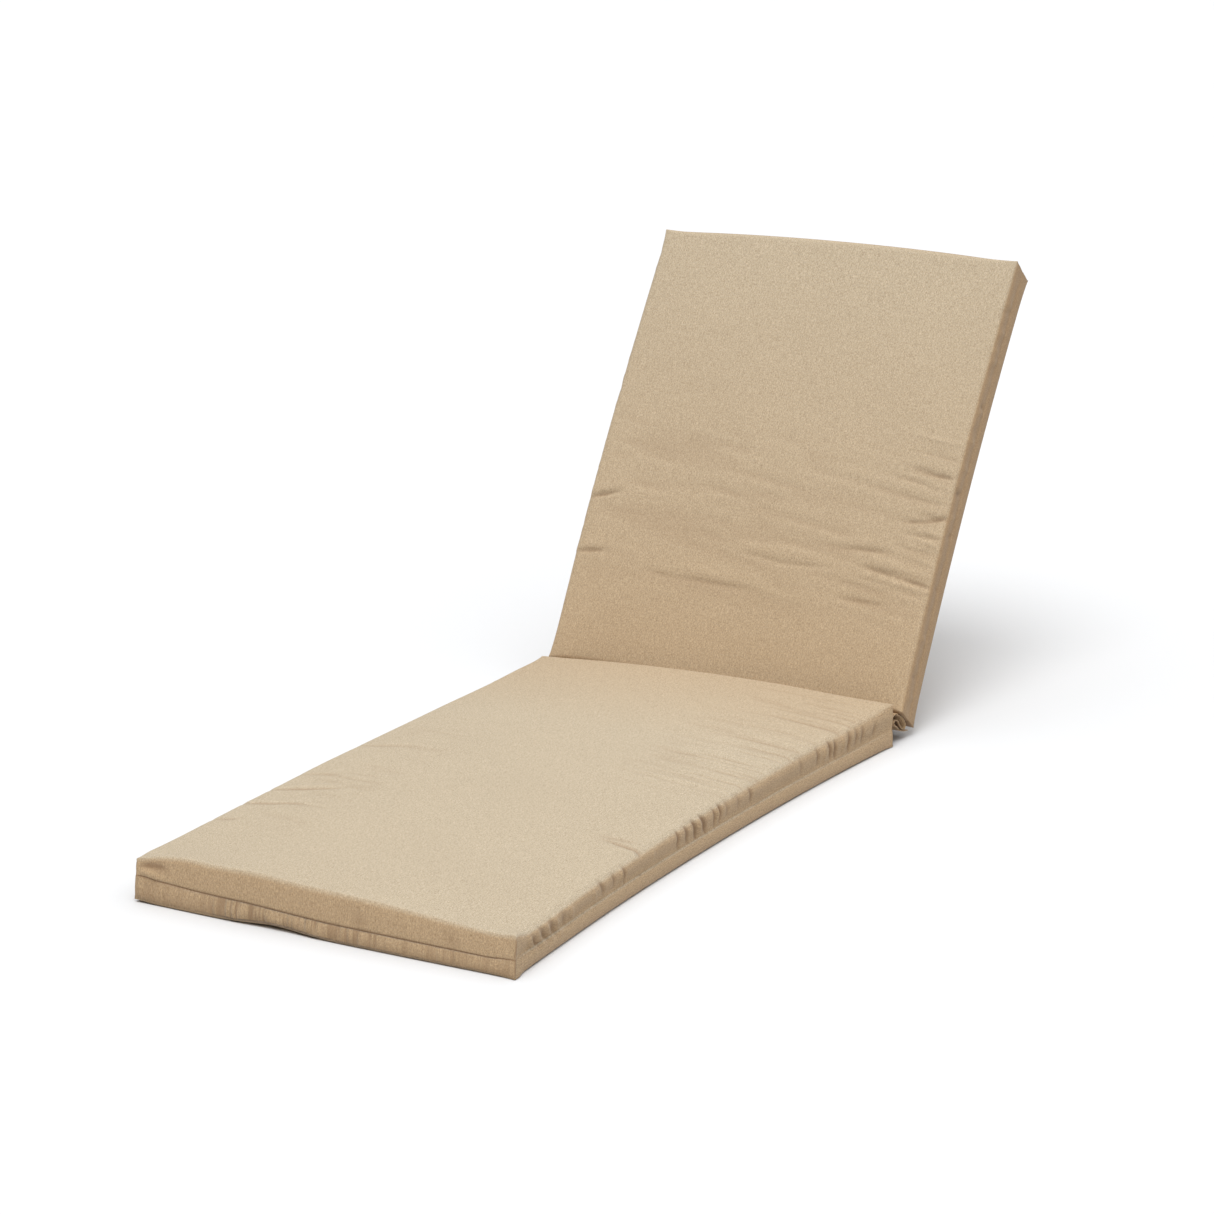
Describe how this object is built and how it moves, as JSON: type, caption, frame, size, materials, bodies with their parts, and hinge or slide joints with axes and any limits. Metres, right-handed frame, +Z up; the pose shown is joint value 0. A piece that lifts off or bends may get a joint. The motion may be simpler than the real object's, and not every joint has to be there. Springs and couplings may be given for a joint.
{
  "type": "sun lounger cushion",
  "caption": "Long foam lounger cushion in a woven cover, its seat section lying flat and its back section raised at a sewn hinge.",
  "frame": {"origin": "middle of the seat section's flat underside, on the surface that it lies on", "axes": "+Y from the foot end to the raised back section, +X to the right seen from the foot end, +Z up"},
  "size_m": [0.6187, 1.5846, 0.6642],
  "materials": {
    "cover_fabric": "matt beige melange plain weave"
  },
  "bodies": {
    "root": {"seat_section": "cover_fabric", "back_section": "cover_fabric", "hinge_strip": "cover_fabric"}
  },
  "joints": []
}
